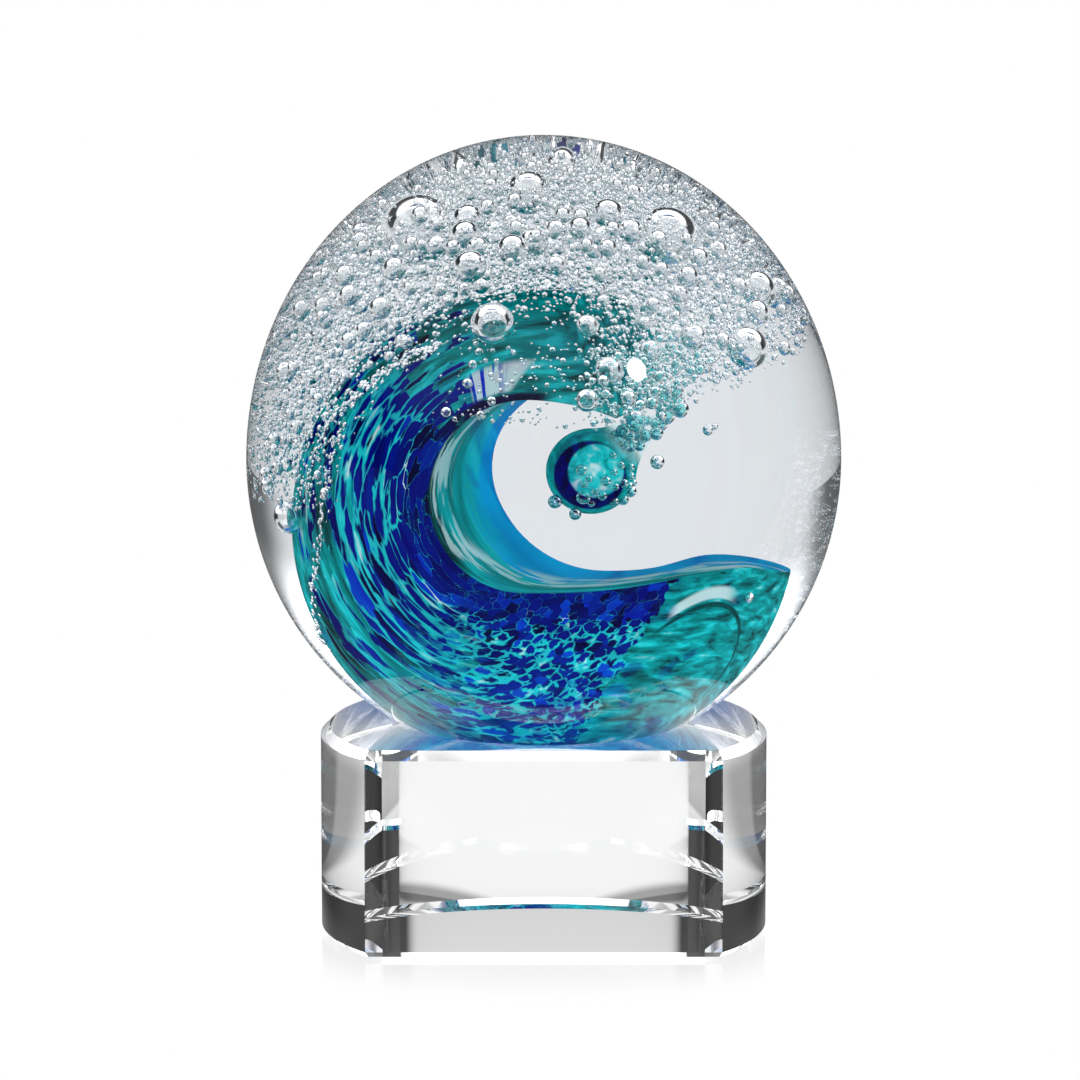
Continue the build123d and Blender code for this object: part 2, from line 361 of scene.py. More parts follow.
class NodeTree:
    """A shader's node tree, with short calls for the nodes that it is made of."""

    def __init__(self, tree):
        self.nodes = tree.nodes
        self.links = tree.links

    def put(self, value, socket):
        """Link another node's output to a socket, or set the socket to a plain value."""
        if isinstance(value, bpy.types.NodeSocket):
            self.links.new(value, socket)
        else:
            socket.default_value = value

    def new(self, kind, **given):
        """A node of a kind, with values for its named inputs."""
        node = self.nodes.new(kind)
        for name, value in given.items():
            self.put(value, node.inputs[name])
        return node

    def math(self, operation, *values):
        """One step of arithmetic."""
        node = self.nodes.new("ShaderNodeMath")
        node.operation = operation
        for value, socket in zip(values, node.inputs):
            self.put(value, socket)
        return node.outputs[0]

    def product(self, *values):
        """Several values multiplied."""
        result = values[0]
        for value in values[1:]:
            result = self.math("MULTIPLY", result, value)
        return result

    def length(self, *values):
        """Length of the vector with the given values."""
        total = self.product(values[0], values[0])
        for value in values[1:]:
            total = self.math("MULTIPLY_ADD", value, value, total)
        return self.math("SQRT", total)

    def span(self, value, low, high, first=0.0, last=1.0):
        """Ease from one number to another while a value goes from low to high."""
        node = self.nodes.new("ShaderNodeMapRange")
        node.interpolation_type = "SMOOTHSTEP"
        for name, given in (("Value", value), ("From Min", low), ("From Max", high),
                            ("To Min", first), ("To Max", last)):
            self.put(given, node.inputs[name])
        return node.outputs["Result"]

    def split(self, vector):
        """Three parts of a vector."""
        node = self.nodes.new("ShaderNodeSeparateXYZ")
        self.put(vector, node.inputs[0])
        return node.outputs["X"], node.outputs["Y"], node.outputs["Z"]

    def mix(self, share, first, second):
        """Mix two colours."""
        node = self.nodes.new("ShaderNodeMix")
        node.data_type = "RGBA"
        self.put(share, node.inputs["Factor"])
        for value, name in ((first, "A"), (second, "B")):
            socket = next(s for s in node.inputs if s.name == name and s.type == "RGBA")
            self.put(value if isinstance(value, bpy.types.NodeSocket) else (*value, 1.0), socket)
        return next(s for s in node.outputs if s.type == "RGBA")

    def combine(self, vector_math, *values):
        """One step of vector arithmetic."""
        node = self.nodes.new("ShaderNodeVectorMath")
        node.operation = vector_math
        for value, socket in zip(values, node.inputs):
            self.put(value, socket)
        return node


class Shades(NodeTree):
    """Node tree of one coloured glass."""

    def __init__(self, name, ior, roughness, transmission):
        self.material = glass(name, (1, 1, 1), ior, roughness, transmission)
        self.shader = self.material.node_tree.nodes["Principled BSDF"]
        super().__init__(self.material.node_tree)

    def paint(self, colour):
        """Finish the glass with its colour."""
        self.put(colour, self.shader.inputs["Base Color"])
        return self.material

    def vector(self, across, back, up):
        """Three values as one vector."""
        node = self.nodes.new("ShaderNodeCombineXYZ")
        for value, socket in zip((across, back, up), node.inputs):
            self.put(value, socket)
        return node.outputs[0]

    def place(self, middle, turn=0.0):
        """Millimetres across, back and up from a middle, in axes turned about the vertical."""
        where = self.nodes.new("ShaderNodeTexCoord")
        shift = self.combine("SUBTRACT", where.outputs["Object"], middle)
        grow = self.combine("SCALE", shift.outputs[0])
        self.put(1 / MM, grow.inputs["Scale"])
        swing = self.nodes.new("ShaderNodeVectorRotate")
        swing.rotation_type = "Z_AXIS"
        self.put(grow.outputs[0], swing.inputs["Vector"])
        self.put(turn, swing.inputs["Angle"])
        return self.split(swing.outputs[0])

    def flow(self):
        """Millimetres along the curl, out from the barrel's middle and back along the barrel.

        The curl's line comes from the right under the barrel's floor, rounds its left side and goes on
        to the right over its roof.
        """
        across, depth, up = self.place(barrel_middle(), settings().wave.barrel_turn)
        left = self.math("MAXIMUM", self.math("MULTIPLY", across, -1.0), 0.0)
        right = self.math("MAXIMUM", across, 0.0)
        bend = self.math("ARCTAN2", left, self.math("MULTIPLY", up, -1.0))
        straight = self.math("MULTIPLY", self.math("SIGN", up), right)
        along = self.math("MULTIPLY_ADD", bend, CURL_BEND, straight)
        return along, self.length(left, up), depth

    def stretched(self, flow, along, across, deep):
        """Flow as a vector with its own scale in each direction."""
        return self.vector(*(self.math("MULTIPLY", value, scale)
                             for value, scale in zip(flow, (along, across, deep))))

    def warped(self, vector, strength):
        """A vector pushed about by noise, so that cells get uneven outlines."""
        noise = self.new("ShaderNodeTexNoise", Vector=vector, Scale=1.3)
        centred = self.combine("SUBTRACT", noise.outputs["Color"], (0.5, 0.5, 0.5))
        pushed = self.combine("MULTIPLY_ADD", centred.outputs[0], (strength, strength, strength), vector)
        return pushed.outputs[0]

    def noise(self, vector, scale=1.0, detail=3.0, distortion=0.0):
        """Soft noise from 0 to 1."""
        node = self.new(
            "ShaderNodeTexNoise", Vector=vector, Scale=scale, Detail=detail, Distortion=distortion)
        return node.outputs["Fac"]

    def cells(self, vector):
        """Two random numbers of each cell, and the distance to the nearest edge between cells."""
        body = self.new("ShaderNodeTexVoronoi", Vector=vector, Scale=1.0)
        edge = self.new("ShaderNodeTexVoronoi", Vector=vector, Scale=1.0)
        edge.feature = "DISTANCE_TO_EDGE"
        first, second, _ = self.split(body.outputs["Color"])
        return first, second, edge.outputs["Distance"]

    def ramp(self, value, stops):
        """Colours at places from 0 to 1, eased between them."""
        node = self.nodes.new("ShaderNodeValToRGB")
        node.color_ramp.interpolation = "EASE"
        elements = node.color_ramp.elements
        while len(elements) < len(stops):
            elements.new(1.0)
        for element, (position, colour) in zip(elements, stops):
            element.position = position
            element.color = (*colour, 1.0)
        self.put(value, node.inputs["Fac"])
        return node.outputs["Color"]


CURL_BEND = 12.0
BARREL_MIDDLE = Vector((1.6, 0, 4.8)) * MM


def barrel_middle():
    """Point on the barrel's axis near its mouth."""
    return core_middle() + BARREL_MIDDLE


def teal_streaks(shades, flow):
    """Teal with darker and paler streaks that follow the curl."""
    colours = settings().colours
    streak = shades.noise(shades.stretched(flow, 0.16, 1.2, 0.3), 1.0, 6.0, 0.4)
    return shades.ramp(streak, (
        (0.34, colours.deep_teal), (0.50, colours.teal), (0.64, colours.bright_teal), (0.80, colours.ice)))


def blue_chips(shades, vector, share, web_width, base):
    """Chips of blue in a base colour, with a paler web of uneven width between them."""
    colours = settings().colours
    pick, tone, edge = shades.cells(vector)
    blue = shades.ramp(tone, (
        (0.0, colours.navy), (0.5, colours.cobalt), (0.8, colours.cobalt), (1.0, colours.azure)))
    mottle = shades.noise(vector, 0.7, 3.0)
    web = shades.ramp(mottle, (
        (0.38, colours.cobalt), (0.48, colours.cyan), (0.62, colours.bright_teal), (0.76, colours.ice)))
    width = shades.product(shades.span(mottle, 0.32, 0.70), web_width)
    inner_width = shades.math("MULTIPLY", width, 0.3)
    thread = shades.span(edge, inner_width, width, 1.0, 0.0)
    is_blue = shades.math("LESS_THAN", pick, share)
    return shades.mix(is_blue, base, shades.mix(thread, blue, web))


def nose_leaf(shades, colour, across, back, up):
    """Dark arched vein on the nose of the wave, with a pale window over it."""
    _, colours, wave, _, _ = settings()
    aside = shades.math("DEGREES", shades.math("ARCTAN2", across, shades.math("MULTIPLY", back, -1.0)))
    above = shades.math("DEGREES", shades.math("ARCSINE", shades.math("DIVIDE", up, wave.core_radius / MM)))
    off_peak = shades.math("SUBTRACT", aside, 58.0)
    arch = shades.math("ADD", shades.math("ADD", above, 19.5), shades.product(off_peak, off_peak, 0.0195))
    vein = shades.product(
        shades.span(shades.math("ABSOLUTE", arch), 0.5, 1.2, 1.0, 0.0), shades.span(aside, 34.0, 42.0))
    window = shades.product(
        shades.span(arch, 1.4, 2.2), shades.span(arch, 4.6, 6.0, 1.0, 0.0),
        shades.span(aside, 40.0, 44.0), shades.span(aside, 62.0, 70.0, 1.0, 0.0))
    return shades.mix(window, shades.mix(vein, colour, colours.deep_teal), colours.ice)


def crest_window(shades, colour):
    """Pale window with thin blue lines in it, under the crest."""
    colours = settings().colours
    along, reach, depth = shades.flow()
    grain = shades.vector(
        shades.math("MULTIPLY", along, 2.2), shades.math("MULTIPLY", reach, 0.2), 0.0)
    lines = shades.noise(grain, 1.0, 2.0)
    lined = shades.product(
        shades.span(lines, 0.46, 0.50, 1.0, 0.0), shades.span(along, 34.0, 36.0, 1.0, 0.0))
    glow = shades.mix(lined, colours.ice, colours.azure)
    slanted = shades.math("MULTIPLY_ADD", reach, -0.7, along)
    window = shades.product(
        shades.span(along, 31.6, 32.4), shades.span(slanted, 27.2, 28.0, 1.0, 0.0),
        shades.span(reach, 11.7, 12.1), shades.span(reach, 14.1, 14.7, 1.0, 0.0),
        shades.span(depth, -8.0, -6.0, 1.0, 0.0))
    return shades.mix(window, colour, glow)


def wave_glass():
    """Outside of the wave: cobalt chips on its face and left, and streaky teal elsewhere."""
    _, colours, wave, _, _ = settings()
    shades = Shades("Wave glass", SKIN_IOR, SKIN_ROUGHNESS, wave.clarity)
    flow = shades.flow()
    along, reach, _ = flow
    across, back, up = shades.place(core_middle())
    teal = teal_streaks(shades, flow)

    # The chips end along a slanting edge on the right, at the back and towards the crest
    wobble = shades.noise(shades.vector(across, back, up), 0.5, 2.0)
    slant = wave.chips_slant
    beyond_edge = shades.math("SUBTRACT", across, wave.chips_edge / MM)
    above_floor = shades.math("ADD", up, wave.barrel_floor / MM)
    past_edge = shades.math("MULTIPLY_ADD", beyond_edge, math.cos(slant), shades.math(
        "MULTIPLY", above_floor, -math.sin(slant)))
    ragged_edge = shades.math("MULTIPLY_ADD", wobble, 4.0, past_edge)
    on_face = shades.math("LESS_THAN", ragged_edge, 2.0)
    in_front = shades.span(back, 1.0, 8.0, 1.0, 0.15)
    below_crest = shades.span(along, 26.0, 35.0, 1.0, 0.0)
    near_hollow = shades.span(reach, 17.0, 28.0, 1.0, 0.3)
    below_hollow = shades.span(along, 2.0, 9.0, 1.0, 0.0)
    closeness = shades.math("MAXIMUM", near_hollow, below_hollow)
    share = shades.product(on_face, in_front, below_crest, closeness)

    # Long chips on the left and short ones below, with hardly a thread between those by the hollow
    web_width = shades.span(reach, 12.0, 17.0, 0.01, 0.30)
    long_vector = shades.warped(shades.stretched(flow, 0.26, 1.25, 0.5), 0.8)
    long_chips = blue_chips(shades, long_vector, share, web_width, teal)
    slope = shades.math("MULTIPLY_ADD", reach, 0.7, along)
    fall = shades.math("MULTIPLY_ADD", along, -0.7, reach)
    short_vector = shades.warped(shades.stretched((slope, fall, flow[2]), 0.62, 1.05, 0.5), 0.8)
    short_chips = blue_chips(shades, short_vector, share, web_width, teal)
    colour = shades.mix(below_hollow, long_chips, short_chips)

    # Dark line along the hollow's edge, up to the crest
    by_hollow = shades.product(
        shades.span(reach, 11.5, 11.9, 1.0, 0.0), shades.span(along, 26.0, 31.0),
        shades.span(along, 39.0, 41.0, 1.0, 0.0))
    colour = shades.mix(by_hollow, colour, colours.navy)
    return shades.paint(crest_window(shades, nose_leaf(shades, colour, across, back, up)))


def lining_glass():
    """Lining of the barrel: green at its mouth, pale patches further in and blue at its tail."""
    _, colours, wave, _, _ = settings()
    shades = Shades("Aqua lining", SKIN_IOR, SKIN_ROUGHNESS, wave.clarity)
    flow = shades.flow()
    along, _, depth = flow
    streak = shades.noise(shades.stretched(flow, 0.10, 0.0, 0.34), 1.0, 6.0, 0.3)
    near_tail = shades.math(
        "ADD", shades.span(depth, -24.0, 22.0), shades.span(along, 3.0, 13.0, 0.26, 0.0))
    inward = shades.math("ADD", near_tail, shades.math("MULTIPLY_ADD", streak, 0.6, -0.3))
    body = shades.ramp(inward, (
        (0.06, colours.deep_teal), (0.18, colours.teal), (0.32, colours.bright_teal), (0.52, colours.teal),
        (0.78, colours.bright_teal), (1.0, colours.tail_blue)))
    patches = shades.noise(shades.stretched(flow, 0.16, 0.0, 0.26), 1.0, 6.0, 0.3)
    on_floor = shades.span(along, 4.0, 12.0, 12.0, 0.0)
    way = shades.math("SUBTRACT", depth, on_floor)
    mid_way = shades.product(shades.span(way, -19.0, -15.0), shades.span(way, -5.0, 1.0, 1.0, 0.0))
    white = shades.product(shades.span(patches, 0.46, 0.56), mid_way)
    return shades.paint(shades.mix(white, body, colours.ice))


def drop_glass():
    """Drop: a teal round with a navy crescent in it and pale glass within that."""
    _, colours, wave, _, _ = settings()
    shades = Shades("Curl drop", SKIN_IOR, 0.1, wave.clarity)
    across, back, up = shades.place(drop_middle())
    radius = wave.drop_radius / MM
    on_neck = shades.span(shades.length(across, back, up), 1.02 * radius, 1.2 * radius)
    shades.put(shades.math("MULTIPLY_ADD", on_neck, 1.0 - wave.clarity, wave.clarity),
               shades.shader.inputs["Transmission Weight"])
    ring = shades.length(across, up)
    inner = shades.length(
        shades.math("SUBTRACT", across, 0.14 * radius), shades.math("SUBTRACT", up, 0.12 * radius))
    grain = shades.noise(shades.vector(across, back, up), 0.9, 4.0, 0.5)
    teal = shades.ramp(grain, ((0.35, colours.teal), (0.65, colours.bright_teal)))
    pale = shades.ramp(grain, ((0.30, colours.teal), (0.50, colours.bright_teal), (0.75, colours.ice)))
    navy = shades.ramp(grain, ((0.30, colours.navy), (0.70, colours.cobalt)))
    within = shades.span(ring, 0.80 * radius, 0.86 * radius, 1.0, 0.0)
    heart = shades.span(inner, 0.60 * radius, 0.66 * radius, 1.0, 0.0)
    bulb = shades.mix(heart, shades.mix(within, teal, navy), pale)
    return shades.paint(shades.mix(on_neck, bulb, colours.ice))


class SCULPTURE_OT_base(bpy.types.Operator):
    """Cut the crystal base."""

    bl_idname = "sculpture.base"
    bl_label = "Crystal base"

    def execute(self, context):
        ball, colours, _, _, _ = settings()
        radius = (BASE_HIGH.x - BASE_LOW.x) / 2
        axis = BASE_LOW.y + ball.base_flat
        bm = bmesh.new()
        bmesh.ops.create_circle(bm, cap_ends=True, segments=BASE_SEGMENTS, radius=radius)
        bmesh.ops.translate(bm, verts=bm.verts, vec=(0, axis, BASE_LOW.z))
        everything = bm.verts[:] + bm.edges[:] + bm.faces[:]
        bmesh.ops.bisect_plane(
            bm, geom=everything, plane_co=(0, BASE_LOW.y, 0), plane_no=(0, 1, 0), clear_inner=True)
        foot = bm.faces[:]
        raised = bmesh.ops.extrude_face_region(bm, geom=foot, use_keep_orig=True)
        top = [part for part in raised["geom"] if isinstance(part, bmesh.types.BMVert)]
        bmesh.ops.translate(bm, verts=top, vec=(0, 0, BASE_HIGH.z - BASE_LOW.z))
        bmesh.ops.recalc_face_normals(bm, faces=bm.faces)
        for level, width in ((BASE_HIGH.z, ball.top_bevel), (BASE_LOW.z, ball.foot_bevel)):
            rim = [edge for edge in bm.edges if all(abs(v.co.z - level) < 1e-6 for v in edge.verts)]
            bmesh.ops.bevel(
                bm, geom=rim, offset=width, offset_type="OFFSET", affect="EDGES", segments=1,
                profile=0.5, material=-1)
        for face in bm.faces:
            face.smooth = True
        crystal = glass("Crystal", colours.crystal, CRYSTAL_IOR)
        piece = new_object("crystal_block", bm, [crystal], ["crystal_base"])
        piece.data.set_sharp_from_angle(angle=BASE_SHARP)
        return {"FINISHED"}


class SCULPTURE_OT_casing(bpy.types.Operator):
    """Gather the clear ball."""

    bl_idname = "sculpture.casing"
    bl_label = "Clear ball"

    def execute(self, context):
        ball, colours, _, _, _ = settings()
        widest = CASING_LOW.z + ball.foot_drop
        rise = CASING_HIGH.z - widest
        drop = ball.foot_drop / math.sqrt(1 - (ball.foot_radius / ball.radius) ** 2)
        bm = bmesh.new()
        bmesh.ops.create_uvsphere(bm, u_segments=BALL_SEGMENTS, v_segments=BALL_RINGS, radius=1.0)
        for vert in bm.verts:
            vert.co.x *= ball.radius
            vert.co.y *= ball.radius
            vert.co.z *= rise if vert.co.z > 0 else drop
        bmesh.ops.translate(bm, verts=bm.verts, vec=(0, 0, widest))
        everything = bm.verts[:] + bm.edges[:] + bm.faces[:]
        cut = bmesh.ops.bisect_plane(
            bm, geom=everything, plane_co=(0, 0, CASING_LOW.z), plane_no=(0, 0, 1), clear_inner=True)
        rim = [part for part in cut["geom_cut"] if isinstance(part, bmesh.types.BMEdge)]
        bmesh.ops.edgeloop_fill(bm, edges=rim)
        bmesh.ops.recalc_face_normals(bm, faces=bm.faces)
        for face in bm.faces:
            face.smooth = True
        clear = glass("Clear glass", colours.clear, GLASS_IOR)
        piece = new_object("clear_ball", bm, [clear], ["clear_casing", "barrel_fill"])
        piece.data.set_sharp_from_angle(angle=BALL_SHARP)

        # The film keeps a little clear of the polished faces, as rays can't tell touching faces apart
        film_radius = (FILM_HIGH.x - FILM_LOW.x) / 2 - FILM_CLEARANCE
        film = bmesh.new()
        bmesh.ops.create_cone(
            film, cap_ends=True, segments=FILM_SEGMENTS, radius1=film_radius, radius2=film_radius,
            depth=FILM_HIGH.z - FILM_LOW.z - 2 * FILM_CLEARANCE)
        bmesh.ops.translate(film, verts=film.verts, vec=(FILM_LOW + FILM_HIGH) / 2)
        adhesive = glass("Adhesive", (1, 1, 1), FUSED_IOR)
        new_object("clear_film", film, [adhesive], ["bond_film"])
        return {"FINISHED"}


WAVE_LAYERS = {"teal_wave": "teal_glass", "cobalt_patch": "cobalt_glass", "aqua_lining": "aqua_glass"}


def layer_piece(node, name, skins, fused, neighbours):
    """A layer of the wave: coloured where it shows, clear where it is fused to another layer.

    The first skin is for the faces on the core's round, the second for those inside it.
    """
    core = core_middle()
    shell = settings().wave.core_radius - CONTACT_GAP
    bm = bmesh.new()
    bm.from_mesh(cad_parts[node].data)
    bmesh.ops.remove_doubles(bm, verts=bm.verts, dist=WELD_DISTANCE)
    for face in bm.faces:
        face.smooth = True
        centre = face.calc_center_median()
        if any(near.touches(centre, face.normal, CONTACT_GAP) for near in neighbours):
            face.material_index = 2
        else:
            face.material_index = int((centre - core).length < shell)
    piece = new_object(name, bm, [*skins, fused], [node])
    piece.data.set_sharp_from_angle(angle=WAVE_SHARP)
    return piece


class SCULPTURE_OT_wave(bpy.types.Operator):
    """Colour the wave's layers."""

    bl_idname = "sculpture.wave"
    bl_label = "Wave"

    def execute(self, context):
        fused = glass("Fused face", (1, 1, 1), FUSED_IOR)
        solids = {node: Solid(node) for node in WAVE_LAYERS}
        outside = wave_glass()
        for node, name, skins in (
                ("teal_wave", "teal_body", (outside, outside)),
                ("cobalt_patch", "cobalt_chips", (outside, outside)),
                ("aqua_lining", "barrel_lining", (outside, lining_glass()))):
            neighbours = [solid for other, solid in solids.items() if other != node]
            layer_piece(node, name, skins, fused, neighbours)
        dress("curl_drop", drop_glass())
        return {"FINISHED"}


class Crowd:
    """Bubbles that keep clear of each other, found through a grid of boxes."""

    def __init__(self, pitch):
        self.pitch = pitch
        self.boxes = {}

    def box(self, place):
        """Box of the grid that a place lies in."""
        return tuple(math.floor(value / self.pitch) for value in place)

    def is_free(self, place, radius):
        """Whether a bubble would touch none of the others."""
        i, j, k = self.box(place)
        for di in (-1, 0, 1):
            for dj in (-1, 0, 1):
                for dk in (-1, 0, 1):
                    for other, reach in self.boxes.get((i + di, j + dj, k + dk), ()):
                        if (other - place).length < radius + reach:
                            return False
        return True

    def add(self, place, radius):
        """Take a bubble in."""
        self.boxes.setdefault(self.box(place), []).append((place, radius))


class Solid:
    """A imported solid, asked how deep a point lies in it."""

    def __init__(self, node):
        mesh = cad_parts[node].data
        self.tree = BVHTree.FromPolygons(
            [vert.co for vert in mesh.vertices], [face.vertices for face in mesh.polygons])

    def depth(self, point):
        """Distance to the surface, below zero outside the solid."""
        distance = self.tree.find_nearest(point)[3]
        way_out = self.tree.ray_cast(point, UPWARDS)[1]
        return distance if way_out is not None and way_out.z > 0 else -distance

    def touches(self, point, normal, gap):
        """Whether a face at a point lies against the solid."""
        _, facing, _, distance = self.tree.find_nearest(point)
        return distance < gap and facing.dot(normal) < -0.7


def bubble_mesh(bubbles, segments, rings):
    """One bmesh of bubbles, each a copy of one round shape with its own place and size."""
    round_shape = bmesh.new()
    if rings:
        bmesh.ops.create_uvsphere(round_shape, u_segments=segments, v_segments=rings, radius=1.0)
    else:
        bmesh.ops.create_icosphere(round_shape, subdivisions=1, radius=1.0)
    for face in round_shape.faces:
        face.smooth = True
    one = bpy.data.meshes.new("one bubble")
    round_shape.to_mesh(one)
    round_shape.free()
    whole = bmesh.new()
    for place, radius in bubbles:
        copy = one.copy()
        copy.transform(Matrix.Translation(place) @ Matrix.Scale(radius, 4))
        whole.from_mesh(copy)
        bpy.data.meshes.remove(copy)
    bpy.data.meshes.remove(one)
    return whole


class Scatter:
    """Bubbles drawn at random, each where it fits."""

    TRIES = 40

    def __init__(self, seed, pitch):
        self.rng = random.Random(seed)
        self.crowd = Crowd(pitch)

    def fill(self, count, low, high, draw, fits, spacing=1.0):
        """Up to a count of bubbles between two radii, at drawn places that fit."""
        found = []
        for _ in range(count * self.TRIES):
            if len(found) == count:
                break
            place = draw()
            radius = low * (high / low) ** (self.rng.random() ** 2)
            room = radius * spacing
            if fits(place, radius) and self.crowd.is_free(place, room):
                self.crowd.add(place, room)
                found.append((place, radius))
        return found

    def string(self, stops, count, low, high, spread):
        """Beads along a line of directions, on the outside of the wave."""
        core = core_middle()
        reach = settings().wave.core_radius
        found = []
        for number in range(count):
            share = (number + self.rng.random()) / count * (len(stops) - 1)
            index = min(int(share), len(stops) - 2)
            part = share - index
            aside, above = (
                first + (last - first) * part + self.rng.gauss(0, spread)
                for first, last in zip(stops[index], stops[index + 1]))
            radius = self.rng.uniform(low, high)
            found.append((core + aim(aside, above) * (reach + radius), radius))
        return found


class SCULPTURE_OT_foam(bpy.types.Operator):
    """Scatter the bubbles."""

    bl_idname = "sculpture.foam"
    bl_label = "Foam"

    def execute(self, context):
        _, colours, wave, foam, _ = settings()
        scatter = Scatter(foam.seed, CROWD_PITCH)
        rng = scatter.rng
        core = core_middle()
        foam_middle = core + Vector(foam.place)
        cap = Solid("foam_mantle")
        large = []
        for aside, above, radius in FOAM_BUBBLES:
            depth = foam.cover + radius * MM
            large.append((foam_middle + aim(aside, above) * (foam.radius - depth), radius * MM))
        for *place, radius in SINGLE_BUBBLES:
            large.append((ball_middle() + Vector(place) * MM, radius * MM))
        for place, radius in large:
            scatter.crowd.add(place, radius)

        # Where bubbles are drawn: degrees right of the front and degrees up, and a depth or height
        def in_box():
            return Vector(rng.uniform(low, high) for low, high in zip(FOAM_LOW, FOAM_HIGH))

        def at_back_rim():
            depth = rng.uniform(0.2, 3.5) * MM
            return foam_middle + aim(rng.uniform(115, 245), rng.uniform(15, 78)) * (foam.radius - depth)

        def over_crest():
            height = 2.4 * MM * rng.random() ** 2
            return core + aim(rng.uniform(-42, 62), rng.uniform(36, 64)) * (wave.core_radius + height)

        def round_lip():
            aside = rng.uniform(16, 76)
            above = rng.uniform(34 + 0.2 * (aside - 16), 56)
            height = rng.uniform(-0.4, 3.2) * MM
            return core + aim(aside, above) * (wave.core_radius + height)

        def under_round():
            depth = rng.uniform(1.2, 3.4) * MM
            return foam_middle + aim(rng.uniform(-125, 125), rng.uniform(22, 84)) * (foam.radius - depth)

        def in_cap(place, radius):
            return cap.depth(place) > radius

        def anywhere(place, radius):
            return True

        large += scatter.fill(foam.large_count, *LARGE_SIZES, under_round, in_cap)
        medium = scatter.fill(foam.medium_count, *MEDIUM_SIZES, in_box, in_cap)
        rim = scatter.fill(*RIM_MEDIUM, at_back_rim, in_cap)
        crest = scatter.fill(*CREST_MEDIUM, over_crest, anywhere)
        fine = scatter.fill(foam.fine_count, *FINE_SIZES, in_box, in_cap)
        rim_fine = scatter.fill(foam.rim_count, *RIM_SIZES, at_back_rim, in_cap)
        crest_fine = scatter.fill(*CREST_FINE, over_crest, anywhere)
        beads = scatter.string(CREST_STRING, *CREST_BEADS, 1.6)
        beads += scatter.string(LEFT_STRING, *LEFT_BEADS, 1.2)

        # Tinted bubbles on the right of the drop and round its neck
        drop = drop_middle()
        neck = Vector((math.cos(wave.drop_lean), 0, math.sin(wave.drop_lean)))

        def on_drop():
            return drop + aim(rng.uniform(-12, 80), rng.uniform(-42, 30)) * wave.drop_radius

        def on_neck():
            return drop + neck * rng.uniform(4.4, 11.5) * MM + aim(
                rng.uniform(-180, 180), rng.uniform(-90, 90)) * rng.uniform(0.4, 1.7) * MM

        tinted = scatter.fill(*DROP_MEDIUM, on_drop, anywhere, 0.9)
        tinted += scatter.fill(*NECK_MEDIUM, on_neck, anywhere, 0.55)
        tinted += scatter.fill(*LIP_MEDIUM, round_lip, anywhere, 0.9)
        lip_fine = scatter.fill(*LIP_FINE, round_lip, anywhere, 0.9)

        air = glass("Air bubble", (1, 1, 1), 1 / GLASS_IOR)
        teal_air = glass("Tinted bubble", colours.bubble_tint, 1 / GLASS_IOR)
        for name, bubbles, segments, rings, material, slot in (
                ("large_bubbles", large, 48, 24, air, "bubbled_glass"),
                ("medium_bubbles", medium + rim + crest, 8, 6, air, "bubbled_glass"),
                ("fine_bubbles", fine, 0, 0, air, "bubbled_glass"),
                ("rim_bubbles", rim_fine, 0, 0, air, "bubbled_glass"),
                ("strung_bubbles", crest_fine + beads, 0, 0, air, "bubbled_glass"),
                ("lip_bubbles", lip_fine, 0, 0, teal_air, "bubbled_glass"),
                ("drop_bubbles", tinted, 16, 10, teal_air, "drop_glass")):
            replaced = ["foam_mantle"] if slot == "bubbled_glass" else []
            new_object(name, bubble_mesh(bubbles, segments, rings), [material], replaced)
        return {"FINISHED"}


def surroundings(tree, shade, rim_shade):
    """Strength of the white surroundings: shaded to see, faint as a glare, and full as a fill light.

    The rim shade is for rays that are mirrored inside the glass, as at the rims of its bubbles.
    Returns that strength, and 1 where a ray is such a glare on a polished outside.
    """
    path = tree.nodes.new("ShaderNodeLightPath")
    outside = tree.math("LESS_THAN", path.outputs["Transmission Depth"], 0.5)
    glare = tree.product(path.outputs["Is Reflection Ray"], path.outputs["Is Singular Ray"], outside)
    mirrored = tree.math("GREATER_THAN", path.outputs["Glossy Depth"], 0.5)
    at_rim = tree.product(mirrored, tree.math("SUBTRACT", 1.0, outside))
    dimmed = tree.math("MULTIPLY_ADD", at_rim, tree.math("SUBTRACT", rim_shade, 1.0), 1.0)
    shaded = tree.product(shade, dimmed)
    seen = tree.product(shaded, tree.math("MULTIPLY_ADD", glare, GLARE - 1.0, 1.0))
    fill = tree.math("GREATER_THAN", path.outputs["Diffuse Depth"], 0.5)
    shown = tree.math("MULTIPLY", seen, tree.math("SUBTRACT", 1.0, fill))
    return tree.math("MULTIPLY_ADD", fill, FILL, shown), glare


